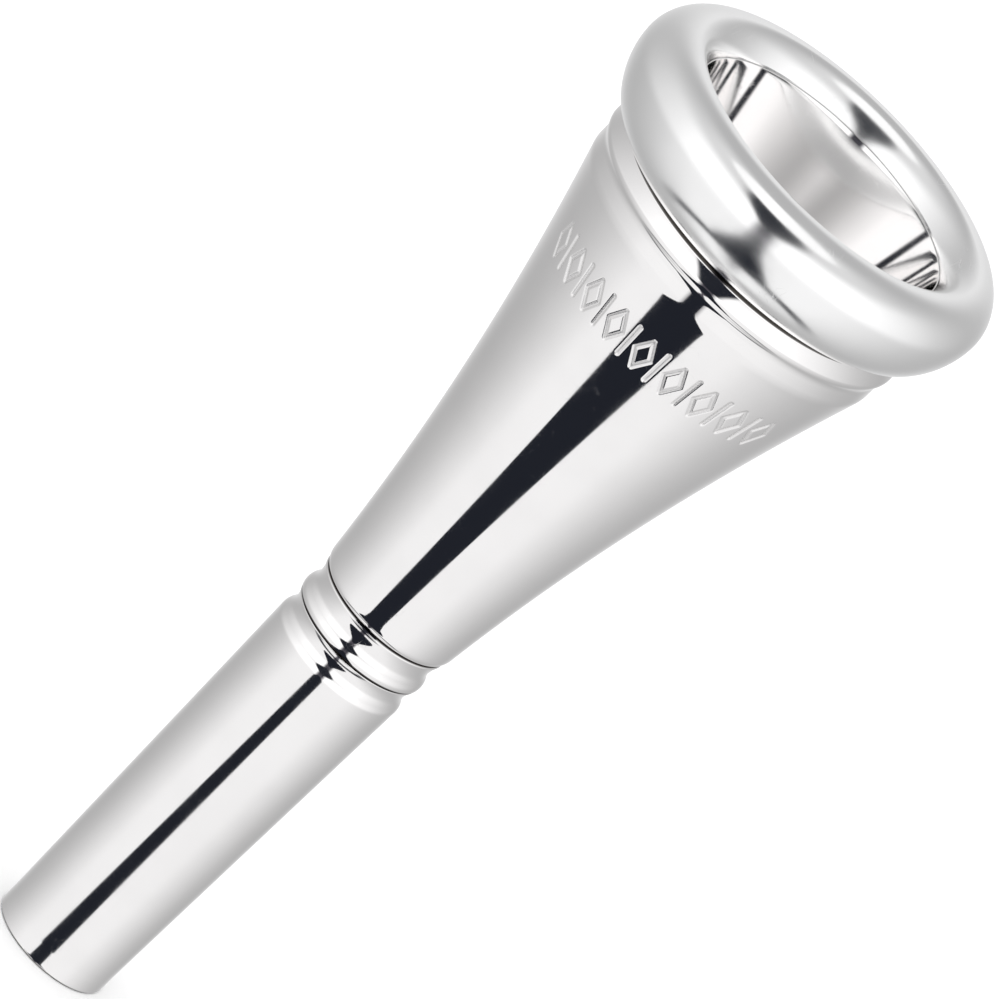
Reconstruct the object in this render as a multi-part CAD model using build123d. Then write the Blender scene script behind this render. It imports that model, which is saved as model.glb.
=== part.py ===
from build123d import *
import os

# French horn mouthpiece in the three-part screwed form: rim, cup and shank, with a collar ring between
# the cup and the shank. Every piece is turned about +Z. The origin is the centre of the shank's open end,
# and the rim is at the top. All sizes are in millimetres.

# Shank: the taper that goes into the instrument's receiver
TIP_RADIUS = 3.775
TIP_LAND = 1.25
TIP_ROUNDING = 0.15
TAPER = 0.0257
SHOULDER_Z = 24.55
SHOULDER_MIDDLE = (4.34, 24.785)
GROOVE_START = (4.24, 25.0)
GROOVE_HANDLE = (3.91, 25.5)
BACKBORE_TIP_RADIUS = 3.15
BACKBORE_LENGTH = 31.0
THROAT_RADIUS = 2.35

# Joint between the shank and the cup
SEAT_Z = 26.4
SEAT_RADIUS = 4.2
SEAT_CHAMFER = 0.12
LAND_RADIUS = 3.6
SPIGOT_RADIUS = 3.4
SPIGOT_TOP_Z = 34.6
THREAD_CLEARANCE = 0.05
THREAD_RELIEF = 0.5
SOCKET_CHAMFER = 0.2
RING_CLEARANCE = 0.02

# Collar ring: a bead below a small cove
RING_TOP_Z = 28.65
RING_TOP_RADIUS = 4.24
RING_TOP_CHAMFER = (0.12, 0.15)
RING_FOOT_RADIUS = 4.36
BEAD_RADIUS = 4.405
BEAD_Z = 26.68
COVE_START = (4.28, 27.07)
COVE_HANDLE = (3.965, 27.52)

# Cup: a flare, a short straight neck and a lip under the rim
CUP_END_RADIUS = 4.24
CUP_END_HANDLE = (4.48, 28.75)
FLARE_START = (4.55, 29.2)
FLARE_HANDLE = (6.07, 42.9)
FLARE_TOP = (10.2, 57.14)
NECK_RADIUS = 10.29
NECK_HANDLE_Z = 57.42
NECK_Z = 57.7
LIP_FLARE_Z = 58.45
LIP_INFLECTION = (10.42, 58.87)
LIP_RADIUS = 10.56
LIP_Z = 59.25
LIP_ROUNDING_Z = 59.35
LIP_BEVEL = (10.53, 59.42)
LIP_BEVEL_HANDLE = (10.286, 59.994)
LIP_TOP = (10.02, 60.36)
RIM_SEAT_Z = 60.45
RIM_SEAT_RADIUS = 9.9
CUP_THROAT_Z = 37.0
CUP_MOUTH_RADIUS = 8.7
CUP_MOUTH_Z = 64.74
BOWL_HANDLE = (7.3, 58.5)
FUNNEL_HANDLE = (3.2, 45.0)

# Rim: the ring that the lips rest on, screwed over the top of the cup
RIM_THREAD_RADIUS = 9.6
RIM_WIDEST_RADIUS = 12.5
RIM_WIDEST_Z = 64.1
RIM_FOOT_RADIUS = 10.25
RIM_CREST_RADIUS = 10.3
RIM_CREST_Z = 66.43
BITE_HANDLE_RADIUS = 9.3
BITE_RADIUS = 8.76
BITE_Z = 64.87
BITE_WALL_STEP = 0.03
LOWER_FULLNESS = 0.56
UPPER_FULLNESS = 0.68
INNER_FULLNESS = 0.8

HALF_ROOT = 0.5 ** 0.5


def turned(edges):
    """The solid of revolution about Z of a closed outline in the XZ plane."""
    face = make_face(Plane.XZ * Curve(edges))
    return revolve(face, Axis.Z, 360)


def outline(*points):
    """Straight edges through (radius, z) points."""
    return [Line(a, b) for a, b in zip(points, points[1:])]


def arc(start, middle, end):
    """An arc through three (radius, z) points."""
    return [ThreePointArc(start, middle, end)]


def quarter(start, corner, end, fullness):
    """A curve that leaves start towards corner and comes from it to end. A quarter ellipse has fullness 0.707."""
    return [Bezier(start, corner, end, weights=[1, fullness, 1])]


def shank_radius(z):
    """Outer radius of the tapered shank."""
    return TIP_RADIUS + (z - TIP_LAND) * TAPER


def shank():
    """The tapered shank: backbore, throat, shoulder, groove, ring land and threaded spigot."""
    shoulder = (shank_radius(SHOULDER_Z), SHOULDER_Z)
    seat_edge = (SEAT_RADIUS + SEAT_CHAMFER, SEAT_Z - SEAT_CHAMFER)
    tip_corner = (TIP_RADIUS - TIP_ROUNDING * (1 - HALF_ROOT), TIP_ROUNDING * (1 - HALF_ROOT))
    edges = outline((THROAT_RADIUS, BACKBORE_LENGTH), (BACKBORE_TIP_RADIUS, 0), (TIP_RADIUS - TIP_ROUNDING, 0))
    edges += arc((TIP_RADIUS - TIP_ROUNDING, 0), tip_corner, (TIP_RADIUS, TIP_ROUNDING))
    edges += outline((TIP_RADIUS, TIP_ROUNDING), (TIP_RADIUS, TIP_LAND), shoulder)
    edges += arc(shoulder, SHOULDER_MIDDLE, GROOVE_START)
    edges += quarter(GROOVE_START, GROOVE_HANDLE, seat_edge, 1)
    edges += outline(
        seat_edge,
        (SEAT_RADIUS, SEAT_Z),
        (LAND_RADIUS, SEAT_Z),
        (LAND_RADIUS, RING_TOP_Z - THREAD_RELIEF),
        (SPIGOT_RADIUS, RING_TOP_Z - THREAD_RELIEF),
        (SPIGOT_RADIUS, SPIGOT_TOP_Z - THREAD_RELIEF),
        (SPIGOT_RADIUS - THREAD_RELIEF, SPIGOT_TOP_Z),
        (THROAT_RADIUS, SPIGOT_TOP_Z),
        (THROAT_RADIUS, BACKBORE_LENGTH),
    )
    return turned(edges)


def collar_ring():
    """The loose ring between shank and cup: a cove above a rounded bead."""
    bore = LAND_RADIUS + RING_CLEARANCE
    top_edge = (RING_TOP_RADIUS + RING_TOP_CHAMFER[0], RING_TOP_Z - RING_TOP_CHAMFER[1])
    edges = outline((bore, RING_TOP_Z), (bore, SEAT_Z), (RING_FOOT_RADIUS, SEAT_Z))
    edges += arc((RING_FOOT_RADIUS, SEAT_Z), (BEAD_RADIUS, BEAD_Z), COVE_START)
    edges += quarter(COVE_START, COVE_HANDLE, top_edge, 1)
    edges += outline(top_edge, (RING_TOP_RADIUS, RING_TOP_Z), (bore, RING_TOP_Z))
    return turned(edges)


def cup_outside():
    """The cup's outline from its bottom edge up to the seat of the rim."""
    lip_foot = (NECK_RADIUS, LIP_FLARE_Z)
    lip = (LIP_RADIUS, LIP_Z)
    inflection_z = LIP_INFLECTION[1]
    edges = quarter((CUP_END_RADIUS, RING_TOP_Z), CUP_END_HANDLE, FLARE_START, 1)
    edges += quarter(FLARE_START, FLARE_HANDLE, FLARE_TOP, 1)
    edges += quarter(FLARE_TOP, (NECK_RADIUS, NECK_HANDLE_Z), (NECK_RADIUS, NECK_Z), 1)
    edges += outline((NECK_RADIUS, NECK_Z), lip_foot)
    edges += quarter(lip_foot, (NECK_RADIUS, (LIP_FLARE_Z + inflection_z) / 2), LIP_INFLECTION, 1)
    edges += quarter(LIP_INFLECTION, (LIP_RADIUS, (LIP_Z + inflection_z) / 2), lip, 1)
    edges += quarter(lip, (LIP_RADIUS, LIP_ROUNDING_Z), LIP_BEVEL, 1)
    edges += quarter(LIP_BEVEL, LIP_BEVEL_HANDLE, LIP_TOP, 1)
    edges += outline(LIP_TOP, (RIM_SEAT_RADIUS, RIM_SEAT_Z))
    return edges


def cup():
    """The cup: funnel and throat inside, flare outside, socket below and threaded spigot above."""
    socket = SPIGOT_RADIUS + THREAD_CLEARANCE
    socket_top = SPIGOT_TOP_Z + SOCKET_CHAMFER
    entry = LAND_RADIUS + THREAD_CLEARANCE
    mouth = (CUP_MOUTH_RADIUS, CUP_MOUTH_Z)
    edges = outline(
        (THROAT_RADIUS, CUP_THROAT_Z),
        (THROAT_RADIUS, socket_top),
        (socket, socket_top),
        (socket, RING_TOP_Z + SOCKET_CHAMFER),
        (entry, RING_TOP_Z),
        (CUP_END_RADIUS, RING_TOP_Z),
    )
    edges += cup_outside()
    edges += outline(
        (RIM_SEAT_RADIUS, RIM_SEAT_Z),
        (RIM_THREAD_RADIUS, RIM_SEAT_Z),
        (RIM_THREAD_RADIUS, CUP_MOUTH_Z - THREAD_RELIEF),
        (RIM_THREAD_RADIUS - THREAD_RELIEF, CUP_MOUTH_Z),
        mouth,
    )
    edges += [Bezier(mouth, BOWL_HANDLE, FUNNEL_HANDLE, (THROAT_RADIUS, CUP_THROAT_Z))]
    return turned(edges)


def rim():
    """The rim: a full rounded ring with a crisp bite, and a threaded socket under it."""
    socket = RIM_THREAD_RADIUS + THREAD_CLEARANCE
    ceiling = CUP_MOUTH_Z + THREAD_CLEARANCE
    foot = (RIM_FOOT_RADIUS, RIM_SEAT_Z)
    widest = (RIM_WIDEST_RADIUS, RIM_WIDEST_Z)
    crest = (RIM_CREST_RADIUS, RIM_CREST_Z)
    bite = (BITE_RADIUS, BITE_Z)
    inner_foot = (BITE_RADIUS - BITE_WALL_STEP, ceiling)
    edges = outline(inner_foot, (socket, ceiling), (socket, RIM_SEAT_Z), foot)
    edges += quarter(foot, (RIM_WIDEST_RADIUS, RIM_SEAT_Z), widest, LOWER_FULLNESS)
    edges += quarter(widest, (RIM_WIDEST_RADIUS, RIM_CREST_Z), crest, UPPER_FULLNESS)
    edges += quarter(crest, (BITE_HANDLE_RADIUS, RIM_CREST_Z), bite, INNER_FULLNESS)
    edges += outline(bite, inner_foot)
    return turned(edges)


os.makedirs("parts", exist_ok=True)
for node, solid in (("shank", shank()), ("collar_ring", collar_ring()), ("cup", cup()), ("rim", rim())):
    export_step(solid, f"parts/{node}.step")
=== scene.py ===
import math

import bpy
import numpy as np
from mathutils import Matrix, Vector


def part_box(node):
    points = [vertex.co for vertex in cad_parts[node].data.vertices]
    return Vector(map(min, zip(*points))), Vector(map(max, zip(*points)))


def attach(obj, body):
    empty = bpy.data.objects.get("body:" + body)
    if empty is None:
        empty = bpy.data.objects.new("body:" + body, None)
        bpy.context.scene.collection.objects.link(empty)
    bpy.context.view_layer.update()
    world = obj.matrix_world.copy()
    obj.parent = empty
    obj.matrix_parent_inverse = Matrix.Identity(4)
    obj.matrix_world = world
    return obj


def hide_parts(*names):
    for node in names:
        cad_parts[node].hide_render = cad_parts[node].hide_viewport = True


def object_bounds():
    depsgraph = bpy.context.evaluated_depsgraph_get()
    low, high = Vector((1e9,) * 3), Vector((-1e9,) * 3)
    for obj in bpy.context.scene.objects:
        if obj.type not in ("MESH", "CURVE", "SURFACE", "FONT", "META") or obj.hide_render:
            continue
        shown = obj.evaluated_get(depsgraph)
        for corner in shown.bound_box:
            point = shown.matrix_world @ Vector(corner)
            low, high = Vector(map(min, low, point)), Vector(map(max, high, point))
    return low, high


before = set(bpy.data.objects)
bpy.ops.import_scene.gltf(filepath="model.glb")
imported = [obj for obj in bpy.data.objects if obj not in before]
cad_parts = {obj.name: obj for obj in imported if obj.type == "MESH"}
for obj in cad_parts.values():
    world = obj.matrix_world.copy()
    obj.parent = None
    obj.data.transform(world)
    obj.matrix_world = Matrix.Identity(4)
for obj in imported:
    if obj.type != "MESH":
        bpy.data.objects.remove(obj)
cad_low, cad_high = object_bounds()

# French horn mouthpiece, silver plated and mirror polished, as four turned pieces. Outlines are (radius, z)
# points in millimetres, measured from the CAD nodes' own boxes; meshes are in metres.
MM = 0.001

SHANK_LOW, SHANK_HIGH = (Vector(c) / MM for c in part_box("shank"))
RING_LOW, RING_HIGH = (Vector(c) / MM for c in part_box("collar_ring"))
CUP_LOW, CUP_HIGH = (Vector(c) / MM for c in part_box("cup"))
RIM_LOW, RIM_HIGH = (Vector(c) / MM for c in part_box("rim"))

# Sizes that two pieces share
THROAT = 2.35
SPIGOT = 3.4
LAND = 3.6
RIM_THREAD = 9.6
CLEARANCE = 0.05
RING_CLEARANCE = 0.02
END_CHAMFER = 0.5

# How finely the pieces are meshed
COLUMNS = 240
ROW = 0.45
BORE_ROW = 0.9
TAPER_ROW = 0.6
NECK_ROW = 0.25
EDGE = 0.05
CORNER = 0.045
CORNER_TURN = math.radians(16)
CORNER_STEP = math.radians(14)

THREAD_PITCH = 0.75
THREAD_FLAT = 0.22
THREAD_ROW = 0.075
SOCKET_ROW = THREAD_ROW * 1.5
THREAD_MARGIN = 0.1
SPIGOT_THREAD_DEPTH = 0.4
RIM_THREAD_DEPTH = 0.35

# The engraved row on the cup, and the finer patch of mesh around it
ENGRAVED_Z = CUP_LOW.z + 24.85
ENGRAVED_RADIUS = 9.2
ENGRAVED_DEPTH = 0.07
STROKE = 0.2
MOTIF_PITCH = 2.2
MOTIF_COUNT = 9
MOTIF_HALF_WIDTH = 0.58
MOTIF_HALF_HEIGHT = 1.1
PATCH_LOW, PATCH_HIGH = ENGRAVED_Z - 1.5, ENGRAVED_Z + 1.5
PATCH_LEAST_RADIUS = 8.0
PATCH_HALF_COLUMNS = 41
PATCH_SPLIT = 6
SLACK = 1e-6
FLARE_STEPS = 2880
COARSE_STEP = 40
FINE_STEP = 4


# ---------------------------------------------------------------- outlines

def straight(start, end, step=ROW):
    """Rows from start up to, but not at, end, with a short row at each end that holds the edge."""
    length = math.dist(start, end)
    hold = min(EDGE, length / 4)
    count = max(1, round((length - 2 * hold) / step))
    stops = [0.0, hold]
    stops += [hold + (length - 2 * hold) * k / count for k in range(1, count)]
    stops.append(length - hold)
    return [tuple(a + (b - a) * s / length for a, b in zip(start, end)) for s in stops]


def bent(start, corner, end, weight, count):
    """Rows on a rational quadratic curve from start by corner to end; weight 0.707 is a quarter ellipse."""
    rows = []
    for k in range(count):
        u = k / count
        w = ((1 - u) ** 2, 2 * u * (1 - u) * weight, u * u)
        rows.append(tuple((w[0] * a + w[1] * b + w[2] * c) / sum(w) for a, b, c in zip(start, corner, end)))
    return rows


def arc(start, middle, end, count):
    """Rows on the circle through three points, from start up to, but not at, end."""
    (ax, ay), (bx, by), (cx, cy) = start, middle, end
    d = 2 * (ax * (by - cy) + bx * (cy - ay) + cx * (ay - by))
    a2, b2, c2 = ax * ax + ay * ay, bx * bx + by * by, cx * cx + cy * cy
    ox = (a2 * (by - cy) + b2 * (cy - ay) + c2 * (ay - by)) / d
    oy = (a2 * (cx - bx) + b2 * (ax - cx) + c2 * (bx - ax)) / d
    radius = math.hypot(ax - ox, ay - oy)
    first, last = math.atan2(ay - oy, ax - ox), math.atan2(cy - oy, cx - ox)
    turn = (last - first + math.pi) % (2 * math.pi) - math.pi
    angles = [first + turn * k / count for k in range(count)]
    return [(ox + radius * math.cos(angle), oy + radius * math.sin(angle)) for angle in angles]


def cubic(a, b, c, d, count):
    """Rows on a cubic curve, from a up to, but not at, d."""
    rows = []
    for k in range(count):
        u = k / count
        w = ((1 - u) ** 3, 3 * u * (1 - u) ** 2, 3 * u * u * (1 - u), u ** 3)
        rows.append(tuple(sum(wi * p[i] for wi, p in zip(w, (a, b, c, d))) for i in (0, 1)))
    return rows


def heading(start, end):
    return math.atan2(end[1] - start[1], end[0] - start[0])


def softened(points):
    """The closed outline with every crisp corner turned into a very small radius, as polishing leaves it."""
    rows = []
    for before, here, after in zip(points[-1:] + points[:-1], points, points[1:] + points[:1]):
        turn = heading(here, after) - heading(before, here)
        turn = abs((turn + math.pi) % (2 * math.pi) - math.pi)
        if turn < CORNER_TURN:
            rows.append(here)
            continue
        back, on = math.dist(here, before), math.dist(here, after)
        cut_back, cut_on = min(CORNER, back / 2) / back, min(CORNER, on / 2) / on
        start = tuple(h + (b - h) * cut_back for h, b in zip(here, before))
        end = tuple(h + (a - h) * cut_on for h, a in zip(here, after))
        rows += bent(start, here, end, weight=0.8, count=max(3, round(turn / CORNER_STEP))) + [end]
    return rows


# ---------------------------------------------------------------- threads and engraving

def thread(low, high, depth):
    """Radius change of a single-start helical male thread between two heights."""

    def relief(angle, height):
        phase = height / THREAD_PITCH - angle / (2 * math.pi)
        wave = 0.5 - 0.5 * np.cos(2 * math.pi * phase)
        flank = np.clip((wave - THREAD_FLAT) / (1 - 2 * THREAD_FLAT), 0, 1)
        fade = np.clip((height - low) / THREAD_PITCH, 0, 1) * np.clip((high - height) / THREAD_PITCH, 0, 1)
        return np.where((height > low) & (height < high), -flank * fade * depth, 0)

    return relief


def motif_strokes():
    """A row of upright lozenges with a plain bar between each two, as (x, z, x, z) strokes in millimetres."""
    strokes = []
    for k in range(MOTIF_COUNT):
        x = (k - (MOTIF_COUNT - 1) / 2) * MOTIF_PITCH
        left, right = (x - MOTIF_HALF_WIDTH, 0), (x + MOTIF_HALF_WIDTH, 0)
        top, bottom = (x, MOTIF_HALF_HEIGHT), (x, -MOTIF_HALF_HEIGHT)
        strokes += [(*left, *top), (*top, *right), (*right, *bottom), (*bottom, *left)]
        if k < MOTIF_COUNT - 1:
            bar = x + MOTIF_PITCH / 2
            strokes.append((bar, -MOTIF_HALF_HEIGHT, bar, MOTIF_HALF_HEIGHT))
    return strokes


def cut_share(angle, height):
    """How deep the engraved strokes are, from 0 for untouched metal to 1 in the middle of a stroke."""
    across, up = angle * ENGRAVED_RADIUS, height - ENGRAVED_Z
    nearest = np.full(angle.shape, np.inf)
    for x0, z0, x1, z1 in motif_strokes():
        dx, dz = x1 - x0, z1 - z0
        share = np.clip(((across - x0) * dx + (up - z0) * dz) / (dx * dx + dz * dz), 0, 1)
        nearest = np.minimum(nearest, np.hypot(across - x0 - share * dx, up - z0 - share * dz))
    closeness = np.clip(1 - nearest / STROKE, 0, 1)
    return closeness ** 2 * (3 - 2 * closeness)


def engraving(angle, height):
    """Radius change of the engraved strokes."""
    return -ENGRAVED_DEPTH * cut_share(angle, height)


# ---------------------------------------------------------------- the four outlines

def shank_points():
    tip, top, seat = SHANK_LOW.z, SHANK_HIGH.z, RING_LOW.z
    bore_end, bore_start, land_top = (3.15, tip), (THROAT, top - 3.6), tip + 1.25
    tip_radius, rounding = 3.775, 0.15
    inset = rounding * (1 - 0.5 ** 0.5)
    shoulder, shoulder_middle = (SHANK_HIGH.x, seat - 1.85), (4.34, seat - 1.615)
    groove_start, groove_handle, seat_edge = (4.24, seat - 1.4), (3.91, seat - 0.9), (4.32, seat - 0.12)
    seat_rim, land_foot, land_end = (4.2, seat), (LAND, seat), (LAND, RING_HIGH.z - 0.5)
    spigot_foot, spigot_end = (SPIGOT, land_end[1]), (SPIGOT, top - END_CHAMFER)
    spigot_face = (SPIGOT - END_CHAMFER, top)
    tip_start, tip_end = (tip_radius - rounding, tip), (tip_radius, tip + rounding)

    rows = straight(bore_start, bore_end, BORE_ROW)
    rows += straight(bore_end, tip_start)
    rows += arc(tip_start, (tip_radius - inset, tip + inset), tip_end, count=6)
    rows += straight(tip_end, (tip_radius, land_top))
    rows += straight((tip_radius, land_top), shoulder, TAPER_ROW)
    rows += arc(shoulder, shoulder_middle, groove_start, count=8)
    rows += bent(groove_start, groove_handle, seat_edge, weight=1, count=20)
    rows += straight(seat_edge, seat_rim)
    rows += straight(seat_rim, land_foot)
    rows += straight(land_foot, land_end)
    rows += straight(land_end, spigot_foot)
    rows += straight(spigot_foot, spigot_end, THREAD_ROW)
    rows += straight(spigot_end, spigot_face)
    rows += straight(spigot_face, (THROAT, top))
    rows += straight((THROAT, top), bore_start)
    return softened(rows)


def ring_points():
    low, top = RING_LOW.z, RING_HIGH.z
    bore = LAND + RING_CLEARANCE
    foot, bead, cove_start = (4.36, low), (RING_HIGH.x, low + 0.28), (4.28, low + 0.67)
    cove_handle, top_edge, top_rim = (3.965, low + 1.12), (4.36, top - 0.15), (4.24, top)

    rows = straight((bore, top), (bore, low))
    rows += straight((bore, low), foot)
    rows += arc(foot, bead, cove_start, count=12)
    rows += bent(cove_start, cove_handle, top_edge, weight=1, count=20)
    rows += straight(top_edge, top_rim)
    rows += straight(top_rim, (bore, top))
    return softened(rows)


def flare_rows(start, handle, end):
    """The flare's rows: even, and close together where the engraving is."""
    picked = []
    for k, (radius, z) in enumerate(bent(start, handle, end, weight=1, count=FLARE_STEPS)):
        if k % (FINE_STEP if PATCH_LOW <= z < PATCH_HIGH else COARSE_STEP) == 0:
            picked.append((radius, z))
    return picked


def cup_points():
    low, top, lip_radius, neck = CUP_LOW.z, CUP_HIGH.z, CUP_HIGH.x, 10.29
    socket, socket_top, socket_foot = SPIGOT + CLEARANCE, SHANK_HIGH.z + 0.2, low + 0.2
    mouth, throat = (8.7, top), (THROAT, SHANK_HIGH.z + 2.4)
    bowl_handle, funnel_handle = (7.3, top - 6.24), (3.2, throat[1] + 8.0)
    foot, foot_handle, flare_start = (4.24, low), (4.48, low + 0.1), (4.55, low + 0.55)
    flare_handle, flare_end = (6.07, low + 14.25), (10.2, low + 28.49)
    neck_handle, neck_foot, neck_top = (neck, low + 28.77), (neck, low + 29.05), (neck, low + 29.8)
    inflection, lip, lip_handle = (10.42, low + 30.22), (lip_radius, low + 30.6), (lip_radius, low + 30.7)
    bevel_foot, bevel_handle, bevel_top = (10.53, low + 30.77), (10.286, low + 31.344), (10.02, low + 31.71)
    seat, thread_foot = (9.9, RIM_LOW.z), (RIM_THREAD, RIM_LOW.z)
    thread_end, thread_face = (RIM_THREAD, top - END_CHAMFER), (RIM_THREAD - END_CHAMFER, top)

    rows = straight(throat, (THROAT, socket_top))
    rows += straight((THROAT, socket_top), (socket, socket_top))
    rows += straight((socket, socket_top), (socket, socket_foot), SOCKET_ROW)
    rows += straight((socket, socket_foot), (LAND + CLEARANCE, low))
    rows += straight((LAND + CLEARANCE, low), foot)
    rows += bent(foot, foot_handle, flare_start, weight=1, count=12)
    rows += flare_rows(flare_start, flare_handle, flare_end)
    rows += bent(flare_end, neck_handle, neck_foot, weight=1, count=8)
    rows += straight(neck_foot, neck_top, NECK_ROW)
    rows += bent(neck_top, (neck, (neck_top[1] + inflection[1]) / 2), inflection, weight=1, count=7)
    rows += bent(inflection, (lip_radius, (inflection[1] + lip[1]) / 2), lip, weight=1, count=7)
    rows += bent(lip, lip_handle, bevel_foot, weight=1, count=8)
    rows += bent(bevel_foot, bevel_handle, bevel_top, weight=1, count=20)
    rows += straight(bevel_top, seat)
    rows += straight(seat, thread_foot)
    rows += straight(thread_foot, thread_end, THREAD_ROW)
    rows += straight(thread_end, thread_face)
    rows += straight(thread_face, mouth)
    rows += cubic(mouth, bowl_handle, funnel_handle, throat, count=60)
    return softened(rows)


def rim_points():
    low, top, widest = RIM_LOW.z, RIM_HIGH.z, RIM_HIGH.x
    socket, ceiling = RIM_THREAD + CLEARANCE, CUP_HIGH.z + 0.01
    foot, belly, crest = (10.25, low), (widest, top - 2.33), (10.3, top)
    bite_handle, bite, wall = (9.3, top), (8.76, top - 1.56), (8.73, ceiling)

    rows = straight(wall, (socket, ceiling))
    rows += straight((socket, ceiling), (socket, low), THREAD_ROW)
    rows += straight((socket, low), foot)
    rows += bent(foot, (widest, low), belly, weight=0.56, count=64)
    rows += bent(belly, (widest, top), crest, weight=0.68, count=48)
    rows += bent(crest, bite_handle, bite, weight=0.8, count=32)
    rows += straight(bite, wall)
    return softened(rows)


# ---------------------------------------------------------------- turned meshes

def piece(name, node, body, where, faces):
    """A smooth mesh in place of a CAD node."""
    mesh = bpy.data.meshes.new(name)
    mesh.from_pydata(where, [], faces)
    mesh.update()
    mesh.validate()
    mesh.shade_smooth()
    made = bpy.data.objects.new(name, mesh)
    bpy.context.scene.collection.objects.link(made)
    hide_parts(node)
    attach(made, body)
    return made


def patch_rows(points):
    """The first and last outline point of the engraved patch."""
    band = [
        i for i, (radius, z) in enumerate(points)
        if radius > PATCH_LEAST_RADIUS and PATCH_LOW - SLACK <= z <= PATCH_HIGH + SLACK
    ]
    return band[0], band[-1]


def net(points, split):
    """The vertices of a turned outline, as (row, column) pairs, and its faces. With a split above 1 the
    engraved patch keeps every row and splits each column; faces at its sides share its vertices."""
    kept, fine_columns = list(range(len(points))), set()
    low, high = 0, 0
    if split > 1:
        low, high = patch_rows(points)
        kept = [i for i in kept if not low < i < high or (i - low) % (COARSE_STEP // FINE_STEP) == 0]
        fine_columns = {c % COLUMNS for c in range(-PATCH_HALF_COLUMNS, PATCH_HALF_COLUMNS)}
    numbers = {}

    def vertex(i, k):
        return numbers.setdefault((i, k % (COLUMNS * split)), len(numbers))

    faces = []
    for i0, i1 in zip(kept, kept[1:] + kept[:1]):
        in_band = low <= i0 < i1 <= high
        for c in range(COLUMNS):
            k0, k1 = c * split, (c + 1) * split
            if in_band and c in fine_columns:
                for i in range(i0, i1):
                    for k in range(k0, k1):
                        faces.append((vertex(i, k), vertex(i, k + 1), vertex(i + 1, k + 1), vertex(i + 1, k)))
                continue
            fine_low = i0 == high and c in fine_columns
            fine_high = i1 == low and c in fine_columns
            fine_left = in_band and (c - 1) % COLUMNS in fine_columns
            fine_right = in_band and (c + 1) % COLUMNS in fine_columns
            ring = [vertex(i0, k) for k in (range(k0, k1) if fine_low else (k0,))]
            ring += [vertex(i, k1) for i in (range(i0, i1) if fine_right else (i0,))]
            ring += [vertex(i1, k) for k in (range(k1, k0, -1) if fine_high else (k1,))]
            ring += [vertex(i, k0) for i in (range(i1, i0, -1) if fine_left else (i1,))]
            faces.append(tuple(ring))
    return list(numbers), faces


def turned(name, node, body, points, reliefs=(), engraved=False):
    """Turns an outline about Z. Reliefs are (least radius, radius change by angle and height)."""
    split = PATCH_SPLIT if engraved else 1
    spots, faces = net(points, split)
    row, column = np.array(spots).T
    base, height = np.array(points)[row].T
    angle = column * (2 * math.pi / (COLUMNS * split))
    angle = np.where(angle > math.pi, angle - 2 * math.pi, angle)
    radius = base
    for least_radius, relief in reliefs:
        radius = radius + np.where(base > least_radius, relief(angle, height), 0)
    where = np.stack([radius * np.sin(angle), -radius * np.cos(angle), height], 1) * MM
    twice_area = sum((b[0] - a[0]) * (a[1] + b[1]) for a, b in zip(points, points[1:] + points[:1]))
    if twice_area > 0:
        faces = [face[::-1] for face in faces]
    made = piece(name, node, body, where.tolist(), faces)
    if engraved:
        cut = np.where(base > PATCH_LEAST_RADIUS, cut_share(angle, height), 0)
        engraved_share = made.data.attributes.new("engraved", "FLOAT", "POINT")
        engraved_share.data.foreach_set("value", cut.astype(np.float32))
    return made


SPIGOT_THREAD = thread(RING_HIGH.z - 0.3, SHANK_HIGH.z - 0.4, SPIGOT_THREAD_DEPTH)
CUP_THREAD = thread(RIM_LOW.z + 0.1, CUP_HIGH.z - 0.4, RIM_THREAD_DEPTH)
SHANK_RELIEFS = [(SPIGOT - THREAD_MARGIN, SPIGOT_THREAD)]
CUP_RELIEFS = [(RIM_THREAD - THREAD_MARGIN, CUP_THREAD), (PATCH_LEAST_RADIUS, engraving)]

shank = turned("shank_body", "shank", "shank", shank_points(), SHANK_RELIEFS)
collar = turned("collar_ring_body", "collar_ring", "shank", ring_points())
cup = turned("cup_body", "cup", "cup", cup_points(), CUP_RELIEFS, engraved=True)
rim = turned("rim_body", "rim", "rim", rim_points())


# ---------------------------------------------------------------- node helpers

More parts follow.
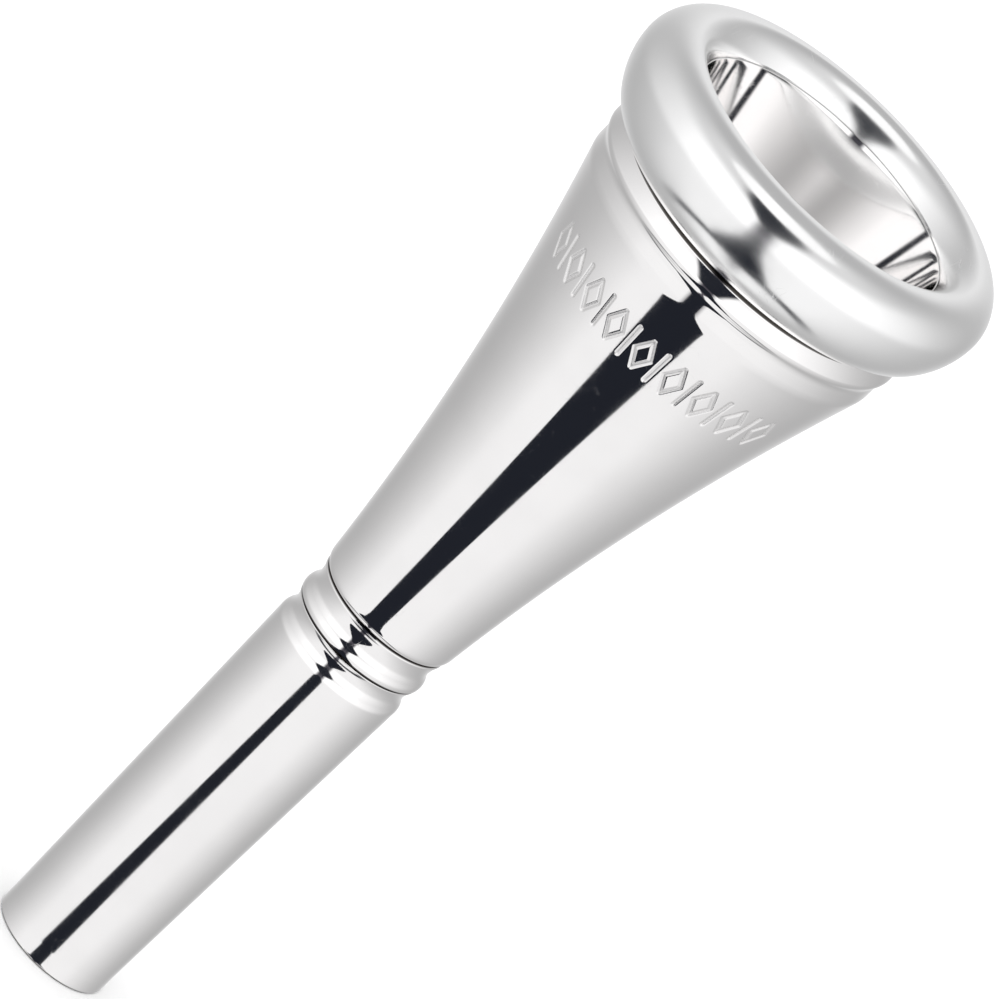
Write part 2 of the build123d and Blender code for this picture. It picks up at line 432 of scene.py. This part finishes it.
class Nodes:
    """Short calls for building a node tree."""

    def __init__(self, tree):
        self.tree = tree
        tree.nodes.clear()

    def add(self, kind, inputs=None, **settings):
        made = self.tree.nodes.new(kind)
        for key, value in settings.items():
            setattr(made, key, value)
        for key, value in (inputs or {}).items():
            self.feed(made.inputs[key], value)
        return made

    def feed(self, socket, value):
        if isinstance(value, bpy.types.NodeSocket):
            self.tree.links.new(value, socket)
        else:
            socket.default_value = value

    def math(self, operation, a, b=0.0):
        return self.add("ShaderNodeMath", {0: a, 1: b}, operation=operation).outputs[0]

    def noise(self, vector, **settings):
        return self.add("ShaderNodeTexNoise", {"Vector": vector, **settings}).outputs["Fac"]

    def ramp(self, value, low, high, to_low=0.0, to_high=1.0):
        """Smooth change from to_low to to_high as value goes from low to high."""
        inputs = {"Value": value, "From Min": low, "From Max": high, "To Min": to_low, "To Max": to_high}
        return self.add("ShaderNodeMapRange", inputs, interpolation_type="SMOOTHSTEP").outputs[0]

    def curve(self, value, stops, tint):
        """A colour ramp: stops are (position, brightness), tint colours them."""
        made = self.add("ShaderNodeValToRGB", {"Fac": value})
        stripe = made.color_ramp
        stripe.interpolation = "B_SPLINE"
        while len(stripe.elements) < len(stops):
            stripe.elements.new(0.5)
        for element, (position, level) in zip(stripe.elements, stops):
            element.position = position
            element.color = (level * tint[0], level * tint[1], level * tint[2], 1.0)
        return made.outputs["Color"]

    def blend(self, share, a, b):
        """Colour a where share is 0, colour b where it is 1."""
        made = self.add("ShaderNodeMix", {}, data_type="RGBA")
        self.feed(made.inputs[0], share)
        self.feed(made.inputs[6], a)
        self.feed(made.inputs[7], b)
        return made.outputs[2]


# ---------------------------------------------------------------- silver plate

SILVER = (0.945, 0.933, 0.928, 1.0)
RIM_SILVER = (0.99, 0.988, 0.985, 1.0)
# Dark colour of the seams between pieces: tarnish and painted crevice shade
SEAM_TARNISH_AND_SHADE = (0.05, 0.045, 0.04, 1.0)
HAZE_DIMS = 0.975
HAZE_ROUGHENS = 1.7
SCRATCH_ROUGHNESS = 0.16
ENGRAVED_ROUGHNESS = 0.34
# Half widths, in millimetres, of the seams' line of tarnish and painted shade: full, and faded out
SEAM_CORE, SEAM_FADE = 0.06, 0.11
RELIEF_HEIGHT = 2.0e-7

# Noise scales, in figures per metre, and the noise values between which a pattern fades in
HAZE_SCALE, PATCHES_SCALE, HAIR_SCALE, TURNING_SCALE = 260.0, 420.0, 900.0, 9000.0
HAZE_ROUGH_RANGE, HAZE_DIM_RANGE, PATCHES_RANGE = (0.35, 0.7), (0.3, 0.75), (0.52, 0.66)
HAIR_HALF_WIDTH = 0.006


def scratches(n, place):
    """Hairline scratches, in patches."""
    settings = {"Vector": place, "Rotation": (0.5, 0.9, 0.3), "Scale": (1, 0.12, 1)}
    crossing = n.add("ShaderNodeMapping", settings).outputs[0]
    hair = n.noise(crossing, Scale=HAIR_SCALE, Detail=1.0, Distortion=0.6)
    thin = n.ramp(n.math("ABSOLUTE", n.math("SUBTRACT", hair, 0.5)), 0.0, HAIR_HALF_WIDTH, 1.0, 0.0)
    return n.math("MULTIPLY", thin, n.ramp(n.noise(place, Scale=PATCHES_SCALE), *PATCHES_RANGE))


def seam_tarnish_and_shade(n, place, seams):
    """1 in the joints between pieces, where a dark line of tarnish and painted crevice shade goes, and 0
    elsewhere; each seam is (z, least radius).
    """
    z_here = n.add("ShaderNodeSeparateXYZ", {"Vector": place}).outputs["Z"]
    flat = n.add("ShaderNodeVectorMath", {0: place, 1: (1.0, 1.0, 0.0)}, operation="MULTIPLY").outputs[0]
    radius = n.add("ShaderNodeVectorMath", {0: flat}, operation="LENGTH").outputs["Value"]
    tarnish_and_shade_mask = 0.0
    for seam, least_radius in seams:
        away = n.math("ABSOLUTE", n.math("SUBTRACT", z_here, seam * MM))
        line = n.ramp(away, SEAM_CORE * MM, SEAM_FADE * MM, 1.0, 0.0)
        outside = n.math("GREATER_THAN", radius, least_radius * MM)
        tarnish_and_shade_mask = n.math("MAXIMUM", n.math("MULTIPLY", line, outside), tarnish_and_shade_mask)
    return tarnish_and_shade_mask


def silver(name, seed, roughness, tint, seams):
    """Polished silver plate: turning lines, scratches, haze, dull engraving, and tarnish with painted shade
    in the seams.
    """
    material = bpy.data.materials.new(name)
    material.use_nodes = True
    n = Nodes(material.node_tree)
    place = n.add("ShaderNodeTexCoord").outputs["Object"]
    shifted = n.add("ShaderNodeMapping", {"Vector": place, "Location": (seed, seed * 0.37, 0)}).outputs[0]
    haze = n.noise(shifted, Scale=HAZE_SCALE, Detail=3.0)
    scratch = scratches(n, shifted)

    engraved = n.add("ShaderNodeAttribute", attribute_name="engraved").outputs["Fac"]
    rough = n.ramp(haze, *HAZE_ROUGH_RANGE, roughness, roughness * HAZE_ROUGHENS)
    rough = n.math("ADD", rough, n.math("MULTIPLY", scratch, SCRATCH_ROUGHNESS))
    rough = n.math("ADD", rough, n.ramp(engraved, 0.05, 0.5, 0.0, ENGRAVED_ROUGHNESS))

    hazed = tuple(c * HAZE_DIMS for c in tint[:3]) + (1.0,)
    clean = n.blend(n.ramp(haze, *HAZE_DIM_RANGE), tint, hazed)
    # A dark line painted along each seam: tarnish and painted shade of the crevice
    colour = n.blend(seam_tarnish_and_shade(n, place, seams), clean, SEAM_TARNISH_AND_SHADE)

    stretched = n.add("ShaderNodeMapping", {"Vector": place, "Scale": (0.05, 0.05, 1.0)}).outputs[0]
    turning = n.noise(stretched, Scale=TURNING_SCALE, Detail=2.0)
    height = n.math("ADD", n.math("MULTIPLY", turning, 0.5), n.math("MULTIPLY", scratch, -0.6))
    bump = n.add("ShaderNodeBump", {"Height": height, "Strength": 1.0, "Distance": RELIEF_HEIGHT}).outputs[0]

    surface = {"Base Color": colour, "Metallic": 1.0, "Roughness": rough, "Normal": bump}
    shader = n.add("ShaderNodeBsdfPrincipled", surface)
    n.add("ShaderNodeOutputMaterial", {"Surface": shader.outputs[0]})
    return material


# Heights and least radii of the seams that get the line of tarnish and painted shade
SHANK_SEAMS = ((SHANK_LOW.z, 3.5), (RING_LOW.z, 4.1))
COLLAR_SEAMS = ((RING_LOW.z, 4.1), (RING_HIGH.z, 4.15))
CUP_SEAMS = ((CUP_LOW.z, 4.15), (RIM_LOW.z, 9.85))
RIM_SEAMS = ((RIM_LOW.z, 10.1),)

shank.data.materials.append(silver("shank_silver", 3.1, 0.06, SILVER, SHANK_SEAMS))
collar.data.materials.append(silver("collar_silver", 7.9, 0.045, SILVER, COLLAR_SEAMS))
cup.data.materials.append(silver("cup_silver", 1.7, 0.045, SILVER, CUP_SEAMS))
rim.data.materials.append(silver("rim_silver", 5.3, 0.125, RIM_SILVER, RIM_SEAMS))


# ---------------------------------------------------------------- studio

def degrees(*values):
    return [math.radians(v) for v in values]


TINT = (1.0, 1.0, 1.006)
LIGHT_BY_BEARING = (
    (0.0, 0.95), (0.27, 0.95), (0.36, 0.85), (0.48, 0.69),
    (0.60, 0.56), (0.76, 0.45), (0.86, 0.53), (0.96, 0.78),
)
LEFT_SHIFT = 0.045
WHITE = (1.04, 1.04, 1.045, 1.0)
CEILING_FRONT = (0.70, 0.70, 0.705, 1.0)
CEILING_BACK = (0.45, 0.45, 0.455, 1.0)
DARK = (0.015, 0.017, 0.024, 1.0)
VIOLET = (0.075, 0.07, 0.085, 1.0)
ROOM_LIGHT = (1.25, 1.25, 1.25, 1.0)

# Where one part of the studio turns into the next, by height above the horizon or by bearing from the front
LIFT_RISE, LIFT_BEARING, FRONT_LIFT = degrees(-25, -5), degrees(90, 150), 0.25
CEILING_RISE, CEILING_BEARING = degrees(28, 52), degrees(60, 150)
GAP_RISE, GAP_HALF_WIDTHS, GAP_BLUR = degrees(16, 54), degrees(6, 27), degrees(-2.5, 2.5)
GAP_DARKENS, GAP_ENDS = degrees(-4, 24), degrees(62, 68)
TABLE_EDGE_LOW, TABLE_EDGE_HIGH, TABLE_EDGE_BEARING = degrees(-68, -65), degrees(-62, -60), degrees(60, 125)

# The light overhead, as slopes from the vertical: half width, half length, and how far it leans to the front
OVERHEAD_HALF_WIDTH, OVERHEAD_HALF_LENGTH, OVERHEAD_LEAN = 0.46, 0.31, 0.28
OVERHEAD_FADE = (0.92, 1.06)
NEAR_HORIZON = 0.05

scene = bpy.context.scene
scene.view_settings.view_transform = "Standard"
world = bpy.data.worlds.new("studio")
scene.world = world
world.use_nodes = True
w = Nodes(world.node_tree)
direction = w.add("ShaderNodeSeparateXYZ", {"Vector": w.add("ShaderNodeTexCoord").outputs["Generated"]})
along_x, along_y, along_z = direction.outputs
bearing = w.math("ABSOLUTE", w.math("ARCTAN2", along_x, w.math("MULTIPLY", along_y, -1.0)))
rise = w.math("ARCSINE", along_z)

# Wide soft lights at the front, the darker room at the sides, and a pale screen behind
turn = w.math("SUBTRACT", w.math("DIVIDE", bearing, math.pi), w.math("MULTIPLY", along_x, LEFT_SHIFT))
sides = w.curve(turn, LIGHT_BY_BEARING, TINT)
front_share = w.ramp(bearing, *LIFT_BEARING, 1.0, 0.0)
lift = w.math("ADD", w.math("MULTIPLY", w.ramp(rise, *LIFT_RISE, 0.0, FRONT_LIFT), front_share), 1.0)
raised = w.add("ShaderNodeVectorMath", {0: sides, "Scale": lift}, operation="SCALE").outputs[0]
ceiling = w.blend(w.ramp(bearing, *CEILING_BEARING), CEILING_FRONT, CEILING_BACK)
tent = w.blend(w.ramp(rise, *CEILING_RISE), raised, ceiling)

# The gap between the two lights, dark from the horizon up and wider overhead
gap_width = w.ramp(rise, *GAP_RISE, *GAP_HALF_WIDTHS)
in_gap = w.ramp(w.math("SUBTRACT", bearing, gap_width), *GAP_BLUR, 1.0, 0.0)
gap_colour = w.blend(w.ramp(rise, *GAP_DARKENS), VIOLET, DARK)
gap_end = w.ramp(rise, *GAP_ENDS, 1.0, 0.0)
studio = w.blend(w.math("MULTIPLY", in_gap, gap_end), tent, gap_colour)

# A long white light straight above, leaning to the front
above = w.math("MAXIMUM", along_z, NEAR_HORIZON)
across = w.math("DIVIDE", w.math("DIVIDE", along_x, above), OVERHEAD_HALF_WIDTH)
lean = w.math("ADD", w.math("DIVIDE", along_y, above), OVERHEAD_LEAN)
ahead = w.math("DIVIDE", lean, OVERHEAD_HALF_LENGTH)
reach = w.math("SQRT", w.math("ADD", w.math("MULTIPLY", across, across), w.math("MULTIPLY", ahead, ahead)))
studio = w.blend(w.ramp(reach, *OVERHEAD_FADE, 1.0, 0.0), studio, WHITE)

# The dark edge of the table, seen steeply below from the front
edge_low = w.ramp(rise, *TABLE_EDGE_LOW)
edge_high = w.ramp(rise, *TABLE_EDGE_HIGH, 1.0, 0.0)
edge_front = w.ramp(bearing, *TABLE_EDGE_BEARING, 1.0, 0.0)
on_edge = w.math("MULTIPLY", w.math("MULTIPLY", edge_low, edge_high), edge_front)
studio = w.blend(on_edge, studio, DARK)

glossy = w.add("ShaderNodeLightPath").outputs["Is Glossy Ray"]
seen = w.blend(glossy, ROOM_LIGHT, studio)
background = w.add("ShaderNodeBackground", {"Color": seen, "Strength": 1.0})
w.add("ShaderNodeOutputWorld", {"Surface": background.outputs[0]})


def sheet(name, corners):
    """A flat sheet of the studio, its corners in millimetres, and its material's empty node tree."""
    mesh = bpy.data.meshes.new(name)
    mesh.from_pydata([tuple(v * MM for v in c) for c in corners], [], [tuple(range(len(corners)))])
    made = bpy.data.objects.new(name, mesh)
    scene.collection.objects.link(made)
    material = bpy.data.materials.new(name)
    material.use_nodes = True
    mesh.materials.append(material)
    return made, Nodes(material.node_tree)


# A dark strip of table below the object and in front of it, which only reflections see: its right side as
# (x, y) points in millimetres, from the far end to the near one
STRIP_Z = -60.0
STRIP_SIDE = (30, -700), (29, -300), (26.5, -190), (31, -135), (33, -113), (36, -90), (36.5, -69), (33, -60)
right_side = [(x, y, STRIP_Z) for x, y in STRIP_SIDE]
left_side = [(-x, y, STRIP_Z) for x, y in reversed(STRIP_SIDE)]
strip, s = sheet("front_strip", right_side + left_side)
dark_card = s.add("ShaderNodeEmission", {"Color": DARK, "Strength": 1.0})
s.add("ShaderNodeOutputMaterial", {"Surface": dark_card.outputs[0]})
strip.visible_camera = False
strip.visible_diffuse = False
strip.visible_shadow = False
strip.visible_transmission = False
strip.visible_volume_scatter = False

FLOOR_HALF = 3000
floor_corners = [(x * FLOOR_HALF, y * FLOOR_HALF, 0) for x, y in ((-1, -1), (1, -1), (1, 1), (-1, 1))]
floor, f = sheet("floor", floor_corners)
paper = f.add("ShaderNodeBsdfDiffuse", {"Color": (0.96, 0.96, 0.96, 1.0)})
f.add("ShaderNodeOutputMaterial", {"Surface": paper.outputs[0]})
floor.location.z = cad_low.z
floor.visible_glossy = False


# ---------------------------------------------------------------- camera

# Seen from a little above, and rolled so that the upright object lies on the slant
ELEVATION = math.radians(21.5)
ROLL = math.radians(45.1)
DISTANCE = 1.0
FIELD = 0.05522
SENSOR = 36.0
AIM = 0.5713
AIM_SIDE = 0.0001

camera_data = bpy.data.cameras.new("camera")
camera_data.sensor_width = SENSOR
camera_data.lens = SENSOR * DISTANCE / FIELD
camera_data.clip_start = 0.1
camera_data.clip_end = 10.0
camera = bpy.data.objects.new("camera", camera_data)
scene.collection.objects.link(camera)
target = Vector((AIM_SIDE, 0, cad_low.z + AIM * (cad_high.z - cad_low.z)))
backward = Vector((0, -math.cos(ELEVATION), math.sin(ELEVATION)))
right = Vector((1, 0, 0))
up = backward.cross(right)
camera_x = math.cos(ROLL) * right + math.sin(ROLL) * up
camera_y = math.cos(ROLL) * up - math.sin(ROLL) * right
pose = Matrix((camera_x, camera_y, backward)).transposed().to_4x4()
pose.translation = target + backward * DISTANCE
camera.matrix_world = pose
scene.camera = camera
